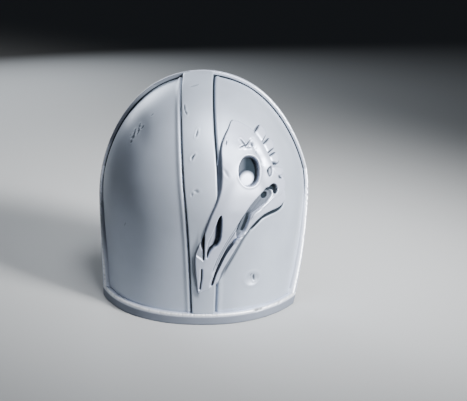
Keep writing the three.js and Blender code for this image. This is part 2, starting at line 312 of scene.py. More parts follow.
def edge_back(z, side):
    """How far back the open edge is at a height, on the left (-1) or the right (1)."""
    left = np.interp(z, edge_table[:, 0], edge_table[:, 1])
    right = np.interp(z, edge_table[:, 0], edge_table[:, 2])
    return np.where(np.asarray(side) < 0, left, right)


band_table = spline([(z * PAD_HEIGHT, a * HALF_WIDTH, b * HALF_WIDTH) for z, a, b in BAND], 20)


def band_left(z):
    return np.interp(z, band_table[:, 0], band_table[:, 1])


def band_right(z):
    return np.interp(z, band_table[:, 0], band_table[:, 2])


# The pad's middle plane lies this far along Y in the row's frame
foot_front = (HALF_WIDTH + RIM_PROUD + FLARE) * (DEPTH + RIM_PROUD) / (HALF_WIDTH + RIM_PROUD)
AXIS_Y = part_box("bottom_rim")[0][1] / MM + foot_front


# Meshes

def to_row(p):
    return (np.asarray(p) + [0, AXIS_Y, 0]) * MM


def add_mesh(name, node, points, faces, slot_name, painted_shade, rubbed=None):
    """A smooth-shaded piece of the pad that rides on it and stands for that node."""
    mesh = bpy.data.meshes.new(name)
    mesh.from_pydata(to_row(points).tolist(), [], [list(f) for f in faces])
    for title, amount in (("painted_shade", painted_shade), ("rubbed", rubbed)):
        own = mesh.attributes.new(title, "FLOAT", "POINT")
        if amount is not None:
            own.data.foreach_set("value", np.clip(amount, 0, 1).astype(np.float32))
    mesh.validate()
    mesh.materials.append(METALS[slot_name])
    mesh.polygons.foreach_set("use_smooth", [True] * len(mesh.polygons))
    mesh.update()
    piece = bpy.data.objects.new(name, mesh)
    bpy.context.scene.collection.objects.link(piece)
    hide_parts(node)
    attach(piece, "root")


def grid_faces(rows, columns, first=0, wrap=False, flip=False):
    """Quads of a grid of vertices stored row by row."""
    count = columns if wrap else columns - 1
    r, c = np.meshgrid(np.arange(rows - 1), np.arange(count), indexing="ij")
    a = first + r * columns + c
    b = first + r * columns + (c + 1) % columns
    quads = np.stack([a, b, b + columns, a + columns], -1).reshape(-1, 4)
    return quads[:, ::-1] if flip else quads


def swept_faces(rows, columns, flip=False):
    """Faces of a closed section swept along its rows, with a cap at both ends."""
    first = list(range(columns))
    last = [(rows - 1) * columns + k for k in first]
    caps = [first, last[::-1]] if flip else [first[::-1], last]
    return grid_faces(rows, columns, wrap=True, flip=flip).tolist() + caps


# Materials

# Near-black painted shade, laid where grooves, pits and undercuts fall in shade, and the bare metal
# of rubbed corners
SHADE_PAINT = (0.027, 0.038, 0.05, 1)
BARE_METAL = (0.93, 0.95, 0.98, 1)


def metal(name, color, roughness, wear):
    """Satin metal, mottled and finely grained, rubbed bright on corners, with painted shade in its
    hollows and wherever the mesh marks it.
    """
    material = bpy.data.materials.new(name)
    material.use_nodes = True
    nodes = material.node_tree.nodes
    links = material.node_tree.links
    shader = nodes["Principled BSDF"]
    shader.inputs["Specular IOR Level"].default_value = 0.5
    place = nodes.new("ShaderNodeTexCoord")

    def noise(scale, detail):
        node = nodes.new("ShaderNodeTexNoise")
        node.inputs["Scale"].default_value = scale
        node.inputs["Detail"].default_value = detail
        links.new(place.outputs["Object"], node.inputs["Vector"])
        return node.outputs["Fac"]

    def ramp(source, low, dark, high, light):
        node = nodes.new("ShaderNodeValToRGB")
        first, last = node.color_ramp.elements
        first.position, first.color = low, (*dark, 1)
        last.position, last.color = high, (*light, 1)
        links.new(source, node.inputs["Fac"])
        return node.outputs["Color"]

    def ranged(source, low, high):
        node = nodes.new("ShaderNodeMapRange")
        node.inputs["To Min"].default_value = low
        node.inputs["To Max"].default_value = high
        links.new(source, node.inputs["Value"])
        return node.outputs["Result"]

    def marked(title):
        """How far each point of the mesh is marked for painted shade or as rubbed."""
        node = nodes.new("ShaderNodeAttribute")
        node.attribute_name = title
        return node.outputs["Fac"]

    def mixed(amount, a, b, kind="RGBA"):
        node = nodes.new("ShaderNodeMix")
        node.data_type = kind
        node.inputs["B"].default_value = b
        links.new(amount, node.inputs["Factor"])
        links.new(a, node.inputs["A"])
        return node.outputs["Result"]

    cloud = noise(22.0, 5.0)
    tone = ramp(cloud, 0.3, [c * 0.93 for c in color], 0.7, [min(1, c * 1.05) for c in color])
    # Pointiness: convex corners come out lighter, worn; concave hollows darker, as painted shade
    bend = nodes.new("ShaderNodeNewGeometry").outputs["Pointiness"]
    corner = ramp(bend, 0.46, [0.8] * 3, 0.56, [1 + wear] * 3)
    worn_and_shaded_tone = nodes.new("ShaderNodeMix")
    worn_and_shaded_tone.data_type = "RGBA"
    worn_and_shaded_tone.blend_type = "MULTIPLY"
    worn_and_shaded_tone.inputs["Factor"].default_value = 1.0
    links.new(tone, worn_and_shaded_tone.inputs["A"])
    links.new(corner, worn_and_shaded_tone.inputs["B"])
    # Where the mesh marks painted shade, the colour turns near-black, fully metallic and dull
    painted_shade = marked("painted_shade")
    bare = mixed(marked("rubbed"), worn_and_shaded_tone.outputs["Result"], BARE_METAL)
    links.new(mixed(painted_shade, bare, SHADE_PAINT), shader.inputs["Base Color"])
    links.new(ranged(painted_shade, 0.5, 1.0), shader.inputs["Metallic"])
    # Painted shade is dull too, so no sheen lightens it
    satin = ranged(cloud, roughness - 0.06, roughness + 0.07)
    links.new(mixed(painted_shade, satin, 0.9, "FLOAT"), shader.inputs["Roughness"])
    bump = nodes.new("ShaderNodeBump")
    bump.inputs["Strength"].default_value = 0.08
    bump.inputs["Distance"].default_value = 0.0002
    links.new(noise(900.0, 3.0), bump.inputs["Height"])
    links.new(bump.outputs["Normal"], shader.inputs["Normal"])
    return material


METALS = {
    "plate_metal": metal("plate_metal", (0.43, 0.485, 0.585), 0.45, 0.12),
    "border_metal": metal("border_metal", (0.55, 0.6, 0.725), 0.43, 0.4),
    "relief_metal": metal("relief_metal", (0.48, 0.53, 0.655), 0.43, 0.16),
}


# The shell: its outer face is a fan of slices from the open edge to the front line

EDGE_OFFSETS = [0, 0.25, 0.5, 0.8, 1.2, 1.7, 2.4, 3.2, 4.2]
SPREAD_SAMPLES = 800
SPACING = 1.35


def spread(length, spacing, windows=()):
    """Places from 0 to length: close together at both ends and in the windows."""
    ends = np.array(EDGE_OFFSETS)
    low, high = ends[-1], length - ends[-1]
    t = np.linspace(low, high, SPREAD_SAMPLES)
    density = np.full(SPREAD_SAMPLES, 1 / spacing)
    for middle, width, finer in windows:
        density += finer * falloff(t - middle * length, width)
    total = np.concatenate([[0], np.cumsum((density[1:] + density[:-1]) / 2 * np.diff(t))])
    count = int(total[-1]) + 1
    between = np.interp(np.linspace(0, total[-1], count + 1), total, t)
    return np.concatenate([ends[:-1], between, length - ends[::-1][1:]])


def by_length(points):
    """The share of its length at each point of a fine line, and its length."""
    steps = np.linalg.norm(np.diff(points, axis=0), axis=1)
    total = np.concatenate([[0], np.cumsum(steps)])
    return total / total[-1], total[-1]


edge_z = np.linspace(LEDGE_HEIGHT + SEAM, CORNER_HEIGHT, 400)
left_yz, right_yz = (
    np.stack([edge_back(edge_z, side) - RIM_WIDTH - SEAM, edge_z], 1) for side in (-1, 1)
)
FRONT_END = EDGE_TOP - RIM_WIDTH - SEAM
turn = np.arccos(np.clip(-FRONT_END / DEPTH, 0, 1))
wall_part = np.linspace(LEDGE_HEIGHT + SEAM, WALL_HEIGHT, 150, endpoint=False)
wall_back = -(HALF_WIDTH + FLARE * (1 - wall_part / WALL_HEIGHT) ** 2) * DEPTH / HALF_WIDTH
dome_turn = np.linspace(0, turn, 250)
front_yz = np.concatenate([
    np.stack([wall_back, wall_part], 1),
    np.stack([-DEPTH * np.cos(dome_turn), WALL_HEIGHT + DOME_RISE * np.sin(dome_turn)], 1),
])
left_share = by_length(left_yz)[0]
right_share = by_length(right_yz)[0]
front_share, front_length = by_length(front_yz)


def slice_rays(share, angle):
    """Start and direction of rays in the slice at a share of the height, by angle."""
    left, right, front = (
        np.stack([np.interp(share, shares, line[:, k]) for k in (0, 1)], 1)
        for shares, line in (
            (left_share, left_yz), (right_share, right_yz), (front_share, front_yz),
        )
    )
    lean = smooth((np.sin(angle)[:, None] + 1) / 2)
    base = left + (right - left) * lean
    ahead = front - base
    half = HALF_WIDTH * np.clip(1.2 - 0.75 * share**3, 0.3, 1)
    start = np.stack([np.zeros(len(share)), base[:, 0], base[:, 1]], 1)
    way = np.stack([
        half * np.sin(angle),
        ahead[:, 0] * np.cos(angle),
        ahead[:, 1] * np.cos(angle),
    ], 1)
    way /= np.linalg.norm(way, axis=1)[:, None]
    return start, way


COARSE = 161
SLICE_WINDOWS = [(0.72, 12, 0.8), (0.11, 10, 0.4), (0.2, 14, 0.4), (0.37, 10, 0.4), (0.58, 18, 0.3)]
slice_share = spread(front_length, SPACING, SLICE_WINDOWS) / front_length
ROWS = len(slice_share)
angles = np.linspace(-math.pi / 2, math.pi / 2, COARSE)
share_grid = np.repeat(slice_share, COARSE)
coarse = hit(*slice_rays(share_grid, np.tile(angles, ROWS)), 0).reshape(ROWS, COARSE, 3)
steps = np.linalg.norm(np.diff(coarse, axis=1), axis=2)
travel = np.concatenate([np.zeros((ROWS, 1)), np.cumsum(steps, axis=1)], axis=1)


def crossing(row, line):
    """The distance along a slice where it crosses a line of the band."""
    ahead = coarse[row, :, 0] - line(coarse[row, :, 2])
    k = int(np.argmax(ahead > 0))
    t = ahead[k - 1] / (ahead[k - 1] - ahead[k])
    return travel[row, k - 1] + t * (travel[row, k] - travel[row, k - 1])


left_cross = np.array([crossing(r, band_left) for r in range(ROWS)])
right_cross = np.array([crossing(r, band_right) for r in range(ROWS)])


def slice_points(places):
    """Exact surface points at distances along each slice."""
    angle = np.concatenate([np.interp(p, travel[r], angles) for r, p in enumerate(places)])
    share = np.repeat(slice_share, [len(p) for p in places])
    return hit(*slice_rays(share, angle), 0)


def fit_places(shares, start, end):
    """Shares from 0 to 1 laid between two distances, with close ends kept close."""
    length = end - start
    ends = np.array(EDGE_OFFSETS) * min(1, length / (4 * EDGE_OFFSETS[-1]))
    inner = shares * (length - 2 * ends[-1]) + ends[-1]
    return start + np.concatenate([ends[:-1], inner, length - ends[::-1][1:]])


def pattern(length, spacing, windows):
    """The places of a spread between its close ends, as shares from 0 to 1."""
    places = spread(length, spacing, windows)
    inner = places[len(EDGE_OFFSETS) - 1:len(places) - len(EDGE_OFFSETS) + 1]
    return (inner - inner[0]) / (inner[-1] - inner[0])


left_pattern = pattern(170, SPACING, [(0.45, 10, 1.1)])
right_pattern = pattern(150, SPACING, [(0.06, 9, 0.4), (0.42, 16, 0.5)])
under_pattern = np.linspace(0, 1, 6)[1:-1]

# Marks on the panels: places in front view in millimetres
SCRAPE = (-74.0, 204.5)
SCRATCHES = 26
DENT = (62.0, 48.5)
PANEL_CUTS = [
    (-79.2, 197.6, -76.4, 201.6, 0.7, 0.8),
    (-79.2, 193.4, -78.2, 195.4, 0.7, 0.7),
    (-56.5, 222.5, -53.5, 225, 0.5, 0.4),
    (-85.2, 103, -83.2, 107.5, 0.5, 0.4),
    (64.6, 46, 64, 53, 0.9, 1.6),
    (60, 51.5, 61.5, 55, 0.6, 0.5),
]


def scratches(count):
    """Rows of short parallel scratches strewn along the scrape, thickest in its middle."""
    along = 18.0 * strewn(count, GOLDEN_STEP) - 8.0
    across = 5.0 * (strewn(count, WIDE_STEP) - 0.5)
    length = 1.6 + 3.4 * strewn(count, SHORT_STEP)
    depth = 0.3 + 0.5 * strewn(count, MIDDLE_STEP)
    run = np.array([0.62, 0.78])
    middle = np.array(SCRAPE) + along[:, None] * run + across[:, None] * run[::-1] * [1, -1]
    half = run * length[:, None] / 2
    ends = np.concatenate([middle - half, middle + half], 1)
    return [(*row, 0.5, deep) for row, deep in zip(ends, depth)]


def edge_depth(x, z):
    """How deep the groove along the borders is and how dark its painted shade: faint at the foot
    and low on the left.
    """
    high = step(z, 105, 30)
    on_sides = np.where(x < 0, 0.12 + 0.88 * high, 0.5 + 0.5 * high)
    return np.where(z < LEDGE_HEIGHT + 5, 0.0, on_sides)


def relief_room(xz):
    """How far the panels are let in round and under the relief, and the painted shade there."""
    lift = -1.9 * smooth((inside(xz, SKULL_OUTLINE) - 2.5) / 1.5)
    deep = inside(xz, closed_spline(WEDGE, 4))
    lift -= 1.8 * step(deep, -0.5, 1.0)
    room_shade = step(deep, -1.0, 1.0)
    d, _, along = to_line(xz, spline(JAW_LOWER[1:9], 4))
    strip = (1 - step(d, 1.0, 1.6)) * faded(along, 0.2)
    lift -= 0.9 * strip
    room_shade = np.maximum(room_shade, 0.8 * strip)
    deep = inside(xz, closed_spline(UNDERCUT, 4))
    lift -= 1.4 * step(deep, -0.6, 1.2)
    room_shade = np.maximum(room_shade, step(deep, -0.9, 1.2))
    cut, slots = cuts(xz, NECK_SLOTS)
    return lift + np.minimum(cut, 0), np.maximum(room_shade, slots)


def panel_lift(p, to_band, side, to_edge):
    """How far the panels stand off the plain dome, and their painted shade."""
    xz = p[:, [0, 2]]
    lift, painted_shade = cuts(xz, PANEL_CUTS + scratches(SCRATCHES))
    d = np.hypot((xz[:, 0] - SCRAPE[0] - 4) / 12, (xz[:, 1] - SCRAPE[1] - 5) / 15)
    lift -= 1.5 * falloff(d, 1)
    d = spot(xz, *DENT)
    lift -= 1.7 * falloff(d, 6.0) - 0.5 * falloff(d - 8.5, 2.2)
    # A rolled lip and a groove along the left line of the band, a wide groove on the right
    on_left = side < 0
    on_right = side > 0
    lift += on_left * 1.5 * falloff(to_band - 4.2, 2.6)
    lift -= on_left * 1.9 * (1 - step(to_band, 0.8, 1.4))
    lift += on_right * 0.7 * falloff(to_band - 5.0, 3.0)
    lift -= on_right * 2.1 * (1 - step(to_band, 1.6, 2.2))
    # A groove at the foot of the borders
    deepness = edge_depth(p[:, 0], p[:, 2])
    lift -= (0.5 + 1.4 * deepness) * (1 - step(to_edge, 1.4, 1.5))
    # Painted shade in the grooves beside the band, fainter low on the right, and in the groove at
    # the borders' foot
    dark = on_left * (1 - step(to_band, 0.6, 1.0))
    fade = 0.35 + 0.65 * step(p[:, 2], 110, 40)
    dark += on_right * (1 - step(to_band, 1.6, 2.4)) * fade
    painted_shade = np.maximum(painted_shade, dark)
    painted_shade = np.maximum(painted_shade, deepness * (1 - step(to_edge, 1.9, 1.5)))
    front = p[:, 1] < RELIEF_PLANE
    room, room_shade = relief_room(xz)
    return lift + front * room, np.maximum(painted_shade, front * room_shade)


# Deeper cuts would come near the inner face of the wall
DEEPEST_LIFT = -2.2
INNER_SKIP = 4


def build_shell():
    left = [fit_places(left_pattern, 0, left_cross[r]) for r in range(ROWS)]
    right = [fit_places(right_pattern, right_cross[r], travel[r, -1]) for r in range(ROWS)]
    under = [
        left_cross[r] + under_pattern * (right_cross[r] - left_cross[r]) for r in range(ROWS)
    ]
    places = [np.concatenate(parts) for parts in zip(left, under, right)]
    columns = len(places[0])
    p = slice_points(places)
    n = normals(p)
    flat = np.concatenate(places)
    row = np.repeat(np.arange(ROWS), columns)
    from_left = left_cross[row] - flat
    from_right = flat - right_cross[row]
    side = np.where(from_left >= 0, -1, np.where(from_right >= 0, 1, 0))
    to_band = np.where(side < 0, from_left, from_right)
    rise = slice_share[row] * front_length
    to_edge = np.minimum(np.minimum(flat, travel[row, -1] - flat), rise)
    to_edge = np.minimum(to_edge, front_length - rise)
    lift, painted_shade = panel_lift(p, to_band, side, to_edge)
    covered = smooth((inside(p[:, [0, 2]], SKULL_OUTLINE) - 1.0) / 1.0)
    covered *= p[:, 1] < RELIEF_PLANE
    lift = np.where(side == 0, -1.0 - 1.2 * covered, lift)
    lift = np.maximum(lift, DEEPEST_LIFT)
    outer = p + n * lift[:, None]
    # The inner face is a coarser grid, joined to the outer one by a skirt
    keep_rows = np.unique(np.append(np.arange(0, ROWS, INNER_SKIP), ROWS - 1))
    keep_columns = np.unique(np.append(np.arange(0, columns, INNER_SKIP), columns - 1))
    index = (keep_rows[:, None] * columns + keep_columns[None, :]).ravel()
    inner = p[index] - n[index] * SHELL_WALL
    ring = np.concatenate([
        np.arange(columns),
        np.arange(1, ROWS) * columns + columns - 1,
        (ROWS - 1) * columns + np.arange(columns - 2, -1, -1),
        np.arange(ROWS - 2, 0, -1) * columns,
    ])
    skirt = p[ring] - n[ring] * SHELL_WALL
    points = np.concatenate([outer, inner, skirt])
    painted_shade = np.concatenate([painted_shade, np.zeros(len(inner)), painted_shade[ring]])
    faces = [grid_faces(ROWS, columns)]
    faces.append(grid_faces(len(keep_rows), len(keep_columns), len(outer), flip=True))
    first = len(outer) + len(inner)
    k = np.arange(len(ring))
    after = (k + 1) % len(ring)
    faces.append(np.stack([ring[k], first + k, first + after, ring[after]], 1))
    add_mesh("shell_plate", "shell", points, np.concatenate(faces), "plate_metal", painted_shade)


# The center band

BAND_CUTS = [
    (-17, 234.5, -15.5, 228.5, 0.7, 1),
    (-15.5, 229.5, -13.5, 226.5, 0.8, 0.9),
    (-2.2, 206.5, -0.4, 213.5, 0.7, 1),
    (-6.5, 186.5, -2.5, 190.5, 0.9, 1),
    (-5.5, 184.5, -4.5, 188.5, 0.7, 0.8),
    (-2, 155, 2.5, 154, 1.5, 0.7),
    (-5, 149, -4.2, 153, 0.8, 0.8),
    (-12, 249, -3, 251, 0.6, 0.4),
]


def build_band():
    width = right_cross - left_cross
    bevel = np.radians([0, 15, 30, 45, 60, 75, 90])
    radius = 1.5
    across_left = radius * (1 - np.cos(bevel))
    drop_left = radius * (1 - np.sin(bevel))
    inner = np.linspace(0, 1, 32)[1:-1]
    places = []
    for r in range(ROWS):
        middle = radius + inner * (width[r] - 2 * radius)
        places.append(left_cross[r] + np.concatenate([
            [0, 0], across_left, middle, (width[r] - across_left)[::-1], [width[r], width[r]],
        ]))
    sunk_ends = [-1.6, -0.2]
    drops = np.concatenate([drop_left, np.zeros(len(inner)), drop_left[::-1]])
    p = slice_points(places)
    n = normals(p)
    columns = len(places[0])
    share = np.repeat(slice_share, columns)
    proud = BAND_PROUD + (RIM_PROUD - BAND_PROUD) * step(share, 0.93, 0.07)
    middle = np.tile(np.concatenate([[0, 0], drops, [0, 0]]), ROWS)
    crowned = np.sin(np.pi * np.tile(np.linspace(0, 1, columns), ROWS))
    lift = proud + 0.5 * crowned * (1 - step(share, 0.93, 0.07)) - middle
    xz = p[:, [0, 2]]
    cut, painted_shade = cuts(xz, BAND_CUTS)
    lift += cut
    # The band is let in under the relief
    front = p[:, 1] < RELIEF_PLANE
    deep = inside(xz, SKULL_OUTLINE)
    lift += np.minimum(-1.7 - lift, 0) * front * step(deep, 2.0, 1.5)
    # Painted shadow on the band left of the relief, and painted shade in the wedge between the jaws
    beside = step(deep, -6.5, 5.5) * smooth((4.0 - xz[:, 0]) / 3)
    painted_shade = np.maximum(painted_shade, front * 0.5 * beside)
    deep = inside(xz, closed_spline(WEDGE, 4))
    lift += np.minimum(-1.2 - lift, 0) * front * step(deep, -0.8, 1.0)
    painted_shade = np.maximum(painted_shade, front * step(deep, -1.2, 1.0))
    for k, value in enumerate(sunk_ends):
        lift[k::columns] = value
        lift[columns - 1 - k::columns] = value
    points = p + n * lift[:, None]
    add_mesh("band_strip", "center_band", points, swept_faces(ROWS, columns), "plate_metal", painted_shade)


# The borders: a rounded square section swept along the open edge

def border_section(proud, lip, width, radius, steps=6):
    """Points (in from the edge, lift) round the border's section."""
    quarter = np.linspace(0, math.pi / 2, steps)
    back = [(radius * (1 - math.sin(a)), proud - radius * (1 - math.cos(a))) for a in quarter[::-1]]
    front = [(width - x, h) for x, h in back[::-1]]
    low_front = [
        (width - radius * (1 - math.cos(a)), -lip + radius * (1 - math.sin(a))) for a in quarter
    ]
    low_back = [(width - x, h) for x, h in low_front[::-1]]
    top = [(x, proud) for x in np.linspace(radius, width - radius, 5)[1:-1]]
    face = [(width, h) for h in np.linspace(proud - radius, -lip + radius, 12)[1:-1]]
    return np.array(back + top + front + face + low_front + low_back)


SECTION = border_section(RIM_PROUD, RIM_LIP, RIM_WIDTH, 1.2)


def foot_shade(across, lift):
    """Painted shade low on the border's inner face, where it meets the panels."""
    return smooth((across - RIM_WIDTH + 0.8) / 0.6) * (1 - step(lift, 1.2, 1.2))


def left_wall_shade(across, x, z):
    """Painted shade over the inner half of the border, high on the left, where its inner wall falls
    in shade.
    """
    high = step(z, 165, 15) * smooth((-14 - x) / 6)
    return 0.7 * high * smooth((across / RIM_WIDTH - 0.42) / 0.16)


def worn(count, low, high):
    """Rows of small chips for nicks, scattered evenly between two places."""
    places = low + (high - low) * strewn(count, GOLDEN_STEP)
    reaches = 0.5 + 1.0 * strewn(count, SHORT_STEP)
    depths = 0.1 + 0.45 * strewn(count, WIDE_STEP) ** 2
    return list(zip(places, reaches, depths))


def nicks(along, across, rows):
    """Small chips on a corner: place along, reach and depth."""
    cut = np.zeros(len(along))
    for place, reach, deep in rows:
        cut += deep * falloff(along - place, reach)
    return cut * across


LEFT_CHIPS = [(60, 3, 0.4), (150, 2, 0.3)]
RIGHT_CHIPS = [(121, 1.6, 0.9), (115, 1.4, 0.8), (108, 1.2, 0.6), (70, 2, 0.4)]


def build_side_border(side, name, node, chips):
    rows = 420
    z = np.linspace(LEDGE_HEIGHT + SEAM / 2, CORNER_HEIGHT, rows)
    count = len(SECTION)
    zz = np.repeat(z, count)
    w = np.tile(SECTION[:, 0], rows)
    lift = np.tile(SECTION[:, 1], rows)
    front_corner = falloff(w - RIM_WIDTH, 1.6) * falloff(lift - RIM_PROUD, 1.6)
    cut = nicks(zz, front_corner, chips + worn(46, 18, 232))
    lift = lift - cut
    y = edge_back(zz, side) - w + cut * 0.7
    start = np.stack([np.zeros(len(y)), y, zz], 1)
    points = hit(start, [side, 0.0, 0.0], lift)
    # Painted shade at the inner foot, high on the left, over the right border's face and in the
    # nicks
    shade = foot_shade(w, lift) * edge_depth(side, zz)
    shade = np.maximum(shade, left_wall_shade(w, points[:, 0], zz))
    if side > 0:
        shade = np.maximum(shade, 0.3 * step(w, 0.8, 1.2) * (1 - front_corner))
    painted_shade = np.maximum(shade, 0.6 * np.clip(cut, 0, 1))
    rubbed = 0.8 * front_corner * (1 - painted_shade)
    faces = swept_faces(rows, count, flip=side > 0)
    add_mesh(name, node, points, faces, "border_metal", painted_shade, rubbed)


def build_top_border():
    columns = 160
    count = len(SECTION)
    w = SECTION[:, 0]
    lift = SECTION[:, 1]
    y = EDGE_TOP - w
    # Half the width of each line of the section where it meets the corner's height
    start = np.stack([np.zeros(count), y, np.full(count, CORNER_HEIGHT)], 1)
    reach = hit(start, [1.0, 0.0, 0.0], lift)[:, 0]
    across = np.linspace(-1, 1, columns)
    x = (across[:, None] * reach[None, :]).ravel()
    yy = np.tile(y, columns)
    start = np.stack([x, yy, np.full(len(x), WALL_HEIGHT)], 1)
    points = hit(start, [0.0, 0.0, 1.0], np.tile(lift, columns))
    # Painted shade at the border's inner foot and high on the left
    painted_shade = np.maximum(
        np.tile(foot_shade(w, lift), columns),
        left_wall_shade(np.tile(w, columns), points[:, 0], points[:, 2]),
    )
    faces = swept_faces(columns, count, flip=True)
    add_mesh("top_border", "top_rim", points, faces, "border_metal", painted_shade)


def plan_point(angle, z, lift):
    """The surface point at an angle from the front, at a height."""
    start = np.stack([np.zeros(len(z)), np.zeros(len(z)), z], 1)
    way = np.stack([HALF_WIDTH * np.sin(angle), -DEPTH * np.cos(angle), np.zeros(len(z))], 1)
    way /= np.linalg.norm(way, axis=1)[:, None]
    return hit(start, way, lift)


# How dark the painted shade is over the foot border's lower part
LOW_FOOT_SHADE = 0.64
FOOT_CHIPS = [
    (68.5, 3.2, 1.5), (73, 1.6, 1.2), (-40, 2, 0.3), (20, 3, 0.35), (95, 2, 0.6),
]


def build_foot():
    radius = 1.3
    quarter = np.linspace(0, math.pi / 2, 6)
    out = [(RIM_PROUD - radius * (1 - math.sin(a)), radius * (1 - math.cos(a))) for a in quarter]
    out += [(RIM_PROUD, z) for z in np.linspace(radius, LEDGE_HEIGHT - radius, 9)[1:-1]]
    out += [
        (RIM_PROUD - radius * (1 - math.cos(a)), LEDGE_HEIGHT - radius * (1 - math.sin(a)))
        for a in quarter
    ]
    out += [(h, LEDGE_HEIGHT) for h in np.linspace(RIM_PROUD - radius, -FOOT_LIP + 1, 9)[1:]]
    out += [(-FOOT_LIP, LEDGE_HEIGHT - 1), (-FOOT_LIP, 1), (-FOOT_LIP + 1, 0)]
    section = np.array(out)
    count = len(section)
    columns = 420
    lift = section[:, 0]
    z = section[:, 1]
    # Each line of the section ends where it meets the open edge
    ends = []
    for side in (-1, 1):
        low = np.zeros(count)
        high = np.full(count, math.pi / 2)
        for _ in range(40):
            middle = (low + high) / 2
            past = plan_point(side * middle, z, lift)[:, 1] > edge_back(z, side)
            high = np.where(past, middle, high)
            low = np.where(past, low, middle)
        ends.append(side * low)
    across = np.linspace(0, 1, columns)[:, None]
    angle = (ends[0] + across * (ends[1] - ends[0])).ravel()
    zz = np.tile(z, columns)
    lifts = np.tile(lift, columns)
    points = plan_point(angle, zz, lifts)
    corner = falloff(lifts - RIM_PROUD, 1.8) * falloff(zz - LEDGE_HEIGHT, 2.2)
    cut = nicks(points[:, 0], corner, FOOT_CHIPS + worn(60, -122, 112))
    points = plan_point(angle, zz - 0.7 * cut, lifts - cut)
    # Painted shade in the nicks and over the foot border's lower part
    painted_shade = np.maximum(0.7 * np.clip(cut, 0, 1), LOW_FOOT_SHADE * (1 - step(zz, 8.5, 2)))
    faces = swept_faces(columns, count)
    add_mesh("foot_border", "bottom_rim", points, faces, "border_metal", painted_shade, 0.9 * corner)


# The relief: heights in millimetres over front-view places (x, z)

STEP = 0.55
SUNK = -1.3


def relief_piece(name, node, outline, height):
    """A carved body over an outline: height gives its lift over the shell and its painted shade."""
    low = outline.min(0) - 2
    high = outline.max(0) + 2
    xs = np.arange(low[0], high[0], STEP)
    zs = np.arange(low[1], high[1], STEP)
    gx, gz = np.meshgrid(xs, zs)
    xz = np.stack([gx.ravel(), gz.ravel()], 1)
    deep = inside(xz, outline)
    cell = (deep > -1.2).reshape(gx.shape)
    cell = cell[:-1, :-1] & cell[1:, :-1] & cell[:-1, 1:] & cell[1:, 1:]
    columns = len(xs)
    r, c = np.nonzero(cell)
    a = r * columns + c
    quads = np.stack([a, a + 1, a + columns + 1, a + columns], 1)
    kept = np.unique(quads)
    where = np.full(len(xz), -1)
    where[kept] = np.arange(len(kept))
    quads = where[quads]
    xz = xz[kept]
    deep = deep[kept]
    lift, painted_shade = height(xz, deep)
    lift = np.where(deep < 0, SUNK * np.clip(-deep / 0.5, 0, 1), lift)
    p = from_front(xz)
    n = normals(p)
    top = p + n * lift[:, None]
    under = p + n * (np.minimum(lift, SUNK) - 0.4)[:, None]
    edges = dict.fromkeys((q[k], q[(k + 1) % 4]) for q in quads.tolist() for k in range(4))
    count = len(kept)
    rim = [(i, j) for i, j in edges if (j, i) not in edges]
    walls = [[j, i, i + count, j + count] for i, j in rim]
    faces = quads.tolist() + (quads[:, ::-1] + count).tolist() + walls
    points = np.concatenate([top, under])
    painted_shade = np.concatenate([painted_shade, painted_shade])
    add_mesh(name, node, points, faces, "relief_metal", painted_shade)


def cuts(xz, rows):
    """Chiselled lines from (x, z) to (x, z) with a width and a depth: lift, and painted shade in
    them.
    """
    lift = np.zeros(len(xz))
    painted_shade = np.zeros(len(xz))
    for x1, z1, x2, z2, width, deep in rows:
        d, _, along = to_line(xz, [(x1, z1), (x2, z2)])
        taper = 0.35 + 0.65 * np.sin(np.pi * np.clip(along, 0.02, 0.98))
        cut = falloff(d, width * taper)
        lip = falloff(d - 2.0 * width, width) * np.exp(-((d / 4) ** 4))
        lift += deep * (0.22 * lip - cut * taper)
        painted_shade = np.maximum(painted_shade, cut * min(1, deep))
    return lift, painted_shade


def right_side(line):
    """For np.interp: the right-hand edge of an outline by height."""
    top = int(np.argmax(line[:, 1]))
    bottom = int(np.argmin(line[:, 1]))
    order = np.roll(line, -top, axis=0)
    count = (bottom - top) % len(line)
    edge = order[:count + 1][::-1]
    return edge[:, 1], edge[:, 0]


# The places are read off the photo, or given in millimetres of the front view.
# The foot of the skull's left wall, from the crown of the head to the muzzle
SKULL_LEFT = from_photo([
    (231, 120), (227.5, 128), (223.5, 136), (220.3, 144), (218.7, 152), (218.4, 162),
    (218.4, 172), (218.2, 182), (217, 192), (213.7, 203), (209.8, 212), (206.3, 221),
    (202.8, 231), (199.5, 240), (196, 248), (194, 255), (193.8, 262), (194.5, 272),
    (195.8, 283), (197.2, 293),
])
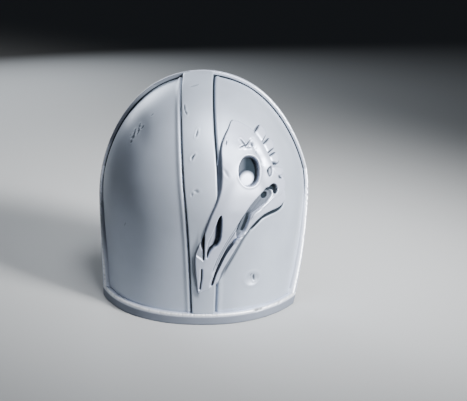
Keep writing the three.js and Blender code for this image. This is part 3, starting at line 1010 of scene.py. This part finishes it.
# The rest of its outline, from the muzzle round to the crown again
MUZZLE_CORNER = from_photo([(203.5, 291)], 2)
UPPER_JAW = [
    (15.2, 43.4), (16.6, 49.2), (20.8, 62.6), (27, 77.6), (34.4, 92.2), (38.4, 97.6),
]
UNDER_LOWER_JAW = from_photo([
    (237, 237), (243, 234), (247, 227), (251, 219), (257, 213), (264, 207), (270, 202),
    (277, 199), (282, 193), (284, 186), (283.3, 179), (279, 174.5),
], 2)
NECK_SIDE = from_photo([
    (273.5, 170), (271.5, 163), (269, 156), (266, 148.5), (262, 141.5), (258, 135),
], 3)
SKULL_TOP = from_photo([(254.5, 131.5), (250, 127), (243, 122.5), (236.5, 120)], 1)
SKULL_REST = MUZZLE_CORNER + UPPER_JAW + UNDER_LOWER_JAW + NECK_SIDE + SKULL_TOP
SKULL_OUTLINE = closed_spline(SKULL_LEFT + SKULL_REST, 4)
SKULL_HEIGHTS = [
    (37, 221, 0.5), (50, 217, 0.5), (60, 208, 1.6), (30, 209, 2.2), (45, 207, 2.8),
    (58, 200, 3.6), (27, 198, 4.4), (40, 192, 5.4), (56, 193, 5.2), (69, 193, 3.8),
    (27, 182, 6.4), (40, 176, 7.6), (58, 176, 8.4), (75, 176, 5.2), (27, 160, 7),
    (42, 152, 8.6), (60, 152, 8.6), (78, 160, 5.6), (88, 156, 5), (86, 142, 5.2),
    (22, 144, 7), (34, 138, 8.6), (50, 138, 8), (15, 126, 7), (26, 122, 8.6),
    (41, 118, 7.4), (7, 108, 7), (17, 104, 8.6), (31, 99, 7), (0, 90, 6.6),
    (12, 86, 8.4), (23, 81, 7), (-1, 74, 6.4), (9, 68, 8), (18, 66, 6.6),
    (0, 52, 5.8), (8, 50, 6.8), (14, 50, 5.6), (2, 40, 4.6), (10, 41, 4.4),
]
SOCKET = from_photo([
    (250, 155.3), (254.5, 156.8), (258, 161), (259.7, 166.5), (260, 173), (258.6, 179.5),
    (254.5, 184.8), (249, 186.5), (244, 184.5), (240.2, 179), (238.9, 172), (239.8, 165),
    (242.8, 159), (246, 156.2),
], 7)
SOCKET_SHELF = (54.2, 165.2, 9.0)
RIGHT_NOSTRIL = from_photo([
    (221.5, 215.3), (222.6, 222), (222.2, 232), (221.2, 240), (218, 246), (213.5, 248.7),
    (210.3, 252.5), (207, 259.3), (206.2, 252), (207.5, 243), (211.5, 235), (215.2, 226.5),
    (218.3, 218.5),
], 7)
LEFT_NOSTRIL = from_photo([
    (204.3, 229), (205.2, 236), (204.8, 248), (204.3, 260.3), (199.5, 258.5), (195.3, 254.5),
    (197.5, 247), (201.5, 238),
], 6)
MUZZLE_SPLIT = from_photo([(201.7, 269.5), (201.3, 279), (199.8, 289.5)], 5.5)
GUM_STEP = from_photo([
    (245, 212), (236.5, 226), (226.5, 241.5), (218, 257), (213.8, 267), (210.5, 276),
], 7)
GUM_GROOVE = [(53.6, 130.0), (45.0, 115.0), (35.4, 99.4), (26.4, 82.2), (20.4, 66.0)]
TRENCH = [
    (42.5, 112), (46.6, 122.4), (51.7, 131.5), (57.7, 139.4), (64.8, 146.4), (69.4, 150.1),
    (73.6, 152.6), (78, 151), (80, 144), (76, 138), (70, 133), (60, 127),
    (56, 118), (52, 108), (47, 102), (42.5, 103),
]
TRENCH_SLIT = [(55.6, 126.8), (53.0, 118.8), (49.6, 110.0)]
SLOT_HOLE = [
    (76.2, 151.4), (78.2, 153.8), (81.8, 154.2), (85.2, 150.8), (86, 146.2), (84.2, 143.4),
    (81.8, 144), (79.8, 148.4),
]
ROUND_HOLE = (73.2, 144.6, 3.4)
TEMPLE_RIDGE = from_photo([(255.5, 136), (261, 147), (266, 158), (270, 166)], 5)
TEMPLE_VALLEY = [(56.5, 201.0), (61.0, 192.0), (66.0, 184.0), (69.0, 174.5)]
TRIANGLE_PIT = [(73.6, 169.4), (77.8, 172.8), (80.0, 169.0), (79.4, 163.6), (76.3, 162.4)]
CRACKS = cuts_from_photo([
    (241, 138, 246.3, 146, 0.8, 1.1),
    (251, 139, 245, 147, 0.8, 1.1),
    (240, 147, 247, 144, 0.8, 1),
    (252, 141.5, 253.3, 146.3, 1, 1.2),
    (256.2, 150.3, 257, 154, 0.6, 0.8),
    (261, 163, 261.3, 167.5, 0.6, 0.7),
], 5)
SKULL_CUTS = CRACKS + [
    (51, 194.6, 57, 194.2, 0.7, 0.7),
    (31.2, 203.4, 30.6, 199, 0.6, 1),
    (28, 176, 33, 168, 1.6, 0.4),
]


# How broad the left wall is and how dark its painted shade, from the crown to the muzzle
SKULL_WALL_AT = [0, 0.1, 0.28, 0.5, 0.8, 1]
SKULL_WALL = [1.8, 2.6, 4.4, 3.8, 3.0, 2.4]
SKULL_SHADE_AT = [0, 0.1, 0.28, 0.45, 0.8, 1]
SKULL_SHADE = [0.75, 0.75, 0.8, 0.6, 0.5, 0.55]
JAW_JOINT = (86, 136)


def skull_height(xz, deep):
    lift = blend_heights(xz, SKULL_HEIGHTS, 6.5)
    painted_shade = np.zeros(len(xz))
    d, _, _ = to_line(xz, spline(TEMPLE_RIDGE, 8))
    lift += falloff(d, 3.4)
    d, _, _ = to_line(xz, spline(TEMPLE_VALLEY, 8))
    lift -= 0.9 * falloff(d, 2.0)
    # The upper jaw's gum: a step down and a fine groove, each with painted shade
    d, side, along = to_line(xz, spline(GUM_STEP, 8))
    ends = faded(along)
    lift -= ends * np.where(side > 0, step(d, 0, 1.0), 0) * 1.9
    painted_shade = np.maximum(painted_shade, ends * 0.75 * falloff(d - 0.9, 0.8) * (side > 0))
    d, _, along = to_line(xz, spline(GUM_GROOVE, 8))
    ends = faded(along)
    lift -= ends * 1.1 * falloff(d, 0.7)
    painted_shade = np.maximum(painted_shade, ends * 0.6 * falloff(d, 0.8))
    # The outline falls as a broad wall on the left and a tight shoulder elsewhere; painted shade
    # lies on the left wall and along the muzzle's foot
    wall, _, along = to_line(xz, spline(SKULL_LEFT, 4))
    broad = np.interp(along, SKULL_WALL_AT, SKULL_WALL)
    left = smooth(1.3 - (wall - deep) / 1.5)
    roll = 1.4 + left * (broad - 1.4)
    joint = falloff(spot(xz, *JAW_JOINT), 9)
    roll += 3.5 * joint
    gum, _, _ = to_line(xz, UPPER_JAW[1::2])
    roll += 1.6 * smooth((6 - gum) / 3)
    t = np.clip(deep / roll, 0, 1)
    lift *= left * (1 - (1 - t) ** 1.4) + (1 - left) * np.sqrt(1 - (1 - t) ** 2)
    strength = np.interp(along, SKULL_SHADE_AT, SKULL_SHADE)
    painted_shade = np.maximum(painted_shade, left * strength * (1 - step(t, 0.55, 0.45)))
    foot = smooth((47 - xz[:, 1]) / 3) * (1 - step(deep, 0.5, 0.8))
    painted_shade = np.maximum(painted_shade, 0.8 * foot)
    # The trench between the jaws, filled with painted shade
    pit = inside(xz, closed_spline(TRENCH, 5))
    mask = step(pit, -0.2, 1.4)
    d, _, _ = to_line(xz, [(68.0, 141.5), (59.0, 131.5)])
    floor = 1.6 + falloff(d, 1.3)
    lift += np.minimum(floor - lift, 0) * mask
    edge, _, _ = to_line(xz, TRENCH[:8])
    painted_shade = np.maximum(painted_shade, 0.78 * mask + 0.22 * mask * (1 - step(edge, 1.8, 1.5)))
    d, _, along = to_line(xz, spline(TRENCH_SLIT, 8))
    cut = np.exp(-((d / 2.4) ** 4))
    lift += (0.2 - lift) * cut
    painted_shade = np.maximum(painted_shade, cut)
    # The eye socket: a steep pit with a lit shelf low on its left; painted shade fills the pit,
    # darker to the right and lighter over the shelf where light falls
    line = closed_spline(SOCKET, 6)
    pit = inside(xz, line)
    below = smooth((172 - xz[:, 1]) / 10)
    lift += 0.3 * below * falloff(pit + 1.4, 1.3)
    x, z, radius = SOCKET_SHELF
    shelf = smooth((radius - spot(xz, x, z)) / 2.6 + 0.35)
    mask = step(pit, -0.8, 1.3)
    lift += (-1.4 + 3.0 * shelf - lift) * mask
    shade = 0.72 + 0.28 * step(xz[:, 0], 47, 14)
    lit = smooth((radius + 1.2 - spot(xz, x, z - 1.5)) / 5.5)
    painted_shade = np.maximum(painted_shade, step(pit, -0.5, 0.9) * (shade * (1 - lit) + 0.12))
    # The nostrils: deep on their right side, sloping up to the left, with painted shade darkest on
    # the deep side
    for outline, fall, bottom in ((RIGHT_NOSTRIL, 10.5, -1.2), (LEFT_NOSTRIL, 6.4, 0.4)):
        line = closed_spline(outline, 6)
        leaf = inside(xz, line)
        reach = fall * (0.4 + 0.6 * step(xz[:, 1], 86, 12))
        slope = np.clip((np.interp(xz[:, 1], *right_side(line)) - xz[:, 0]) / reach, 0, 1)
        floor = bottom + (5.6 - bottom) * step(slope, 0.4, 0.55)
        mask = step(leaf, 0, 1.2)
        lift += np.minimum(floor - lift, 0) * mask
        dark = 1 - step(slope, 0.42, 0.16)
        painted_shade = np.maximum(painted_shade, step(leaf, 0, 0.8) * (0.95 * dark + 0.22 * (1 - dark)))
    # The split of the muzzle, with painted shade
    d, _, along = to_line(xz, spline(MUZZLE_SPLIT, 8))
    cut = falloff(d, 0.95)
    lift -= 3.0 * cut
    painted_shade = np.maximum(painted_shade, cut)
    # The pits at the temple and at the joint of the jaws, filled with painted shade
    pit = inside(xz, closed_spline(TRIANGLE_PIT, 5))
    lift += np.minimum(0.6 + 2.2 * step(xz[:, 0], 76, 3) - lift, 0) * step(pit, 0, 1.0)
    shade = 1 - 0.6 * step(xz[:, 0], 76.8, 2)
    painted_shade = np.maximum(painted_shade, step(pit, -0.4, 0.8) * shade)
    x, z, radius = ROUND_HOLE
    round_pit = radius - spot(xz, x, z)
    for pit in (inside(xz, closed_spline(SLOT_HOLE, 6)), round_pit):
        lift += (-1.2 - lift) * step(pit, -0.3, 1.0)
        painted_shade = np.maximum(painted_shade, step(pit, -0.7, 0.8))
    # Cracks, cuts and the neck slots, with painted shade in them
    cut, dark = cuts(xz, SKULL_CUTS)
    slots, shade = cuts(xz, NECK_SLOTS)
    lift += cut + 1.5 * np.minimum(slots, 0)
    return lift, np.maximum(painted_shade, np.maximum(dark, shade))


# The lower jaw: its upper edge from the joint to the tip, and its lower edge back again
JAW_UPPER = [
    (80, 141), (70, 134.2), (58.6, 127.3), (55.4, 119.3), (51.4, 109.6), (46, 104.4),
    (38, 93.5), (31, 82.5), (24.6, 68.6), (20.4, 57.9), (16.8, 44.9),
]
JAW_LOWER = [
    (22.3, 47), (26.6, 51.3), (31.8, 63.7), (38.4, 75.1), (46.1, 88.5), (51, 97.3),
    (55.9, 104.2), (62.8, 112.8), (71.5, 120.4), (80, 123.4), (89, 125.2), (94, 128.4),
    (97, 134), (96.2, 142.7), (93, 146), (86.5, 143.5),
]
JAW_OUTLINE = closed_spline(JAW_UPPER + JAW_LOWER, 4)
JAW_HEIGHTS = [
    (88, 142, 4.4), (92, 132, 5), (80, 134, 5.2), (86, 126, 5.4), (72, 127, 5.6),
    (64, 121, 5.6), (60, 113, 5.4), (53, 104, 5.4), (46, 95, 5), (39, 83, 4.8),
    (32, 70, 4.6), (26, 58, 4), (21, 48, 3),
]
JAW_BUMPS = [
    (46.5, 101.5, 2.4, 1.2), (43.5, 97, 2, 0.9), (50.5, 106.5, 1.8, 0.9),
    (40, 90, 2, 0.5),
]
JAW_CUTS = [
    (44, 102, 51, 104, 0.6, 0.9),
    (48.5, 99.5, 46.5, 93, 0.6, 0.8),
    (50, 94, 43, 83, 0.6, 0.6),
]


# How dark the painted shade is along the lower wall, from the tip to the joint
JAW_SHADE_AT = [0, 0.1, 0.44, 0.52, 0.74, 0.8, 1]
JAW_SHADE = [0.5, 0.74, 0.74, 1.0, 1.0, 0.2, 0]
# How broad that wall is
JAW_WALL_AT = [0, 0.1, 0.4, 0.5, 0.62, 0.8, 0.9, 1]
JAW_WALL = [3, 5, 5.5, 5.3, 4.6, 3.6, 2.2, 1.6]


def jaw_height(xz, deep):
    lift = blend_heights(xz, JAW_HEIGHTS, 6.0)
    upper, _, _ = to_line(xz, spline(JAW_UPPER, 4))
    lift += 0.6 * falloff(upper - 1.6, 1.2)
    for x, z, radius, rise in JAW_BUMPS:
        lift += rise * falloff(spot(xz, x, z), radius)
    wall, _, along = to_line(xz, spline(JAW_LOWER, 4))
    low = smooth(1.5 - (wall - upper) / 1.0)
    broad = np.interp(along, JAW_WALL_AT, JAW_WALL)
    roll = 0.8 + low * (broad - 0.8)
    t = np.clip(np.where(low > 0.5, wall, deep) / roll, 0, 1)
    lift *= low * (1 - (1 - t) ** 1.25) + (1 - low) * np.sqrt(1 - (1 - t) ** 2)
    # Painted shade on the lower wall, and along the upper edge up to the top of the wedge
    strength = np.interp(along, JAW_SHADE_AT, JAW_SHADE)
    painted_shade = low * strength * (1 - step(t, 0.5, 0.35))
    shade = smooth((99 - xz[:, 1]) / 5) * (1 - step(upper, 0.7, 0.7))
    painted_shade = np.maximum(painted_shade, 0.9 * shade)
    cut, dark = cuts(xz, JAW_CUTS)
    return lift + cut, np.maximum(painted_shade, dark * 0.8)


# The neck plates from the head down, and the slots between them
NECK_PLATES = [
    [(60.5, 208.3), (65.6, 213.8), (70.5, 212), (74.2, 207.2), (74.8, 202.4),
     (69.6, 196.8), (64.3, 202)],
    [(70.3, 195.3), (77.3, 199.8), (82.3, 196), (84, 190.3), (82.8, 187.4),
     (75.8, 184.8), (71.7, 190.5)],
    [(76.9, 182), (84.7, 184.9), (89.2, 180.3), (89.8, 174.9), (87.4, 171.8),
     (80.4, 174.7), (77.6, 178.8)],
    [(79.9, 171.9), (88, 170.2), (93.9, 166.3), (94.7, 161.7), (90.9, 158.5),
     (86.1, 160.8), (80.8, 166.3)],
]
NECK_SLOTS = [
    (61.2, 207.6, 65.8, 213.2, 1.2, 1.1),
    (69.4, 196.6, 74.3, 202.6, 1.2, 1.1),
    (71, 195, 77, 199, 1, 1),
    (75, 185.4, 82.4, 188.4, 1.2, 1.1),
    (77.8, 182.4, 85, 184.5, 1, 1),
    (79.6, 175.8, 87.1, 172.1, 1.3, 1.2),
    (87.1, 172.1, 88.4, 175.3, 0.9, 0.9),
    (86.9, 160.6, 90.4, 157, 1.6, 1.4),
]


def neck_height(xz, deep):
    t = np.clip(deep / 3.0, 0, 1)
    lift = 3.8 * np.sqrt(1 - (1 - t) ** 2)
    cut, dark = cuts(xz, NECK_SLOTS)
    # Painted shade in the slots and round the plate's edge
    return lift + 1.5 * np.minimum(cut, 0), np.maximum(dark, 0.35 * (1 - step(deep, 0, 1.0)))


# Where the panels are let in, with painted shade: under the angle of the jaw, and between the two
# jaws
UNDERCUT = [
    (60, 107.5), (66.5, 112.2), (73, 117.6), (81.3, 120), (90.5, 121.4), (96, 125),
    (97, 131), (93, 129.5), (88.5, 126.5), (79.5, 124.8), (70.5, 121.8), (62, 113.5),
]
WEDGE = [
    (38.2, 97.4), (35, 91), (26.8, 73.8), (21.6, 62), (17.2, 47.6), (15.6, 49.3),
    (20, 63), (26, 78), (33.6, 92.8),
]


# The stage: floor, light and camera

def build_stage():
    mesh = bpy.data.meshes.new("floor")
    size = 12.0
    mesh.from_pydata(
        [(-size, -size, 0), (size, -size, 0), (size, size, 0), (-size, size, 0)],
        [],
        [(0, 1, 2, 3)],
    )
    material = bpy.data.materials.new("floor_paint")
    material.use_nodes = True
    shader = material.node_tree.nodes["Principled BSDF"]
    shader.inputs["Base Color"].default_value = (0.36, 0.37, 0.38, 1)
    shader.inputs["Roughness"].default_value = 0.8
    mesh.materials.append(material)
    floor = bpy.data.objects.new("floor", mesh)
    bpy.context.scene.collection.objects.link(floor)


def area_light(name, azimuth, elevation, distance, size, power, color, spread, aim):
    """A soft light round the pad that looks at aim. Azimuth is 0 in front, and grows rightwards."""
    a, e = math.radians(azimuth), math.radians(elevation)
    way = Vector((math.sin(a) * math.cos(e), -math.cos(a) * math.cos(e), math.sin(e)))
    data = bpy.data.lights.new(name, "AREA")
    data.size = size
    data.energy = power
    data.color = color
    data.spread = math.radians(spread)
    lamp = bpy.data.objects.new(name, data)
    lamp.location = Vector((0, 0, 0.13)) + way * distance
    lamp.rotation_euler = (Vector(aim) - lamp.location).to_track_quat("-Z", "Y").to_euler()
    bpy.context.scene.collection.objects.link(lamp)


def build_lights():
    area_light("key", 59, 28, 1.7, 0.4, 7.5, (1.0, 0.99, 0.97), 38, (0.2, 0.1, 0.22))
    area_light("top", 46, 66, 1.5, 0.6, 2.0, (0.95, 0.97, 1.0), 40, (0.12, 0.06, 0.2))
    area_light("back", -154, 20, 1.8, 0.7, 12, (0.9, 0.95, 1.0), 150, (0, 0, 0.13))
    world = bpy.data.worlds.new("studio")
    world.use_nodes = True
    sky = world.node_tree.nodes["Background"]
    sky.inputs["Color"].default_value = (0.72, 0.8, 0.92, 1)
    sky.inputs["Strength"].default_value = 0.03
    bpy.context.scene.world = world


def build_camera():
    place, right, up, ahead = camera_frame()
    data = bpy.data.cameras.new("camera")
    data.sensor_width = 36
    data.lens = FOCAL_PIXELS / PHOTO_WIDTH * data.sensor_width
    camera = bpy.data.objects.new("camera", data)
    turned = Matrix(np.stack([right, up, -ahead], 1).tolist()).to_4x4()
    camera.matrix_world = Matrix.Translation(Vector(to_row(place))) @ turned
    bpy.context.scene.collection.objects.link(camera)
    bpy.context.scene.camera = camera


build_camera()
build_stage()
build_lights()
build_shell()
build_band()
build_side_border(-1, "left_border", "left_rim", LEFT_CHIPS)
build_side_border(1, "right_border", "right_rim", RIGHT_CHIPS)
build_top_border()
build_foot()
relief_piece("skull_relief", "horse_skull", SKULL_OUTLINE, skull_height)
relief_piece("jaw_relief", "lower_jaw", JAW_OUTLINE, jaw_height)
for number, plate in enumerate(NECK_PLATES, 1):
    outline = closed_spline(plate, 6)
    relief_piece(f"neck_plate_{number}", f"neck_vertebra_{number}", outline, neck_height)
